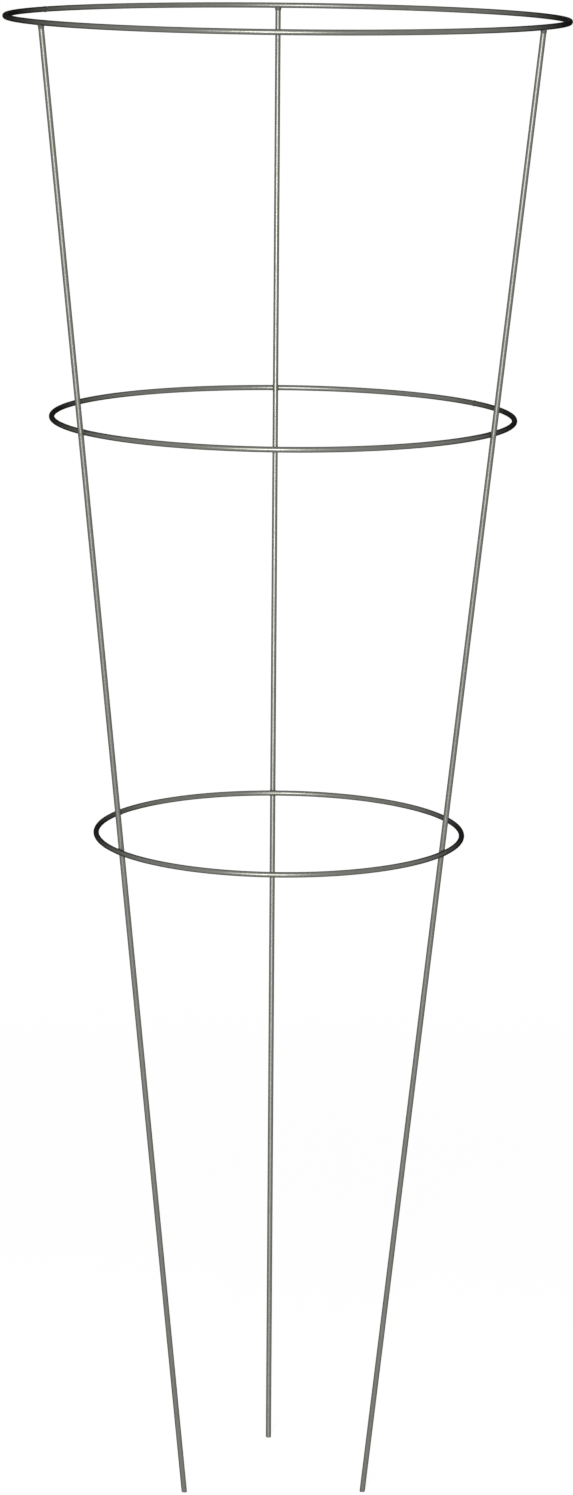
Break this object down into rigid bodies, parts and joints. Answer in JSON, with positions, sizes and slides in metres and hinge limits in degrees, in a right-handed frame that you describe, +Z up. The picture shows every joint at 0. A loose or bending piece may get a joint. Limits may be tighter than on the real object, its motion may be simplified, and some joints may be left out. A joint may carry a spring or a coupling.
{
  "type": "tomato cage",
  "caption": "Conical plant support of round galvanised wire: level rings that shrink towards the ground, welded to straight legs that push into the soil.",
  "frame": {"origin": "on the axis of the rings at ground level, in the plane of the three feet", "axes": "+Z up along the axis of the rings, +Y towards the rear leg, +X to the right seen from the front"},
  "size_m": [0.308, 0.3081, 0.8332],
  "materials": {
    "leg_wire": "dull galvanised drawn wire",
    "ring_wire": "dull galvanised bent wire",
    "weld_metal": "rough resistance weld with burnt zinc"
  },
  "bodies": {
    "root": {"left_leg": "leg_wire", "right_leg": "leg_wire", "rear_leg": "leg_wire", "top_ring": "ring_wire", "middle_ring": "ring_wire", "bottom_ring": "ring_wire", "top_left_weld": "weld_metal", "top_right_weld": "weld_metal", "top_rear_weld": "weld_metal", "middle_left_weld": "weld_metal", "middle_right_weld": "weld_metal", "middle_rear_weld": "weld_metal", "bottom_left_weld": "weld_metal", "bottom_right_weld": "weld_metal", "bottom_rear_weld": "weld_metal", "top_ring_closure": "weld_metal", "middle_ring_closure": "weld_metal", "bottom_ring_closure": "weld_metal"}
  },
  "joints": []
}
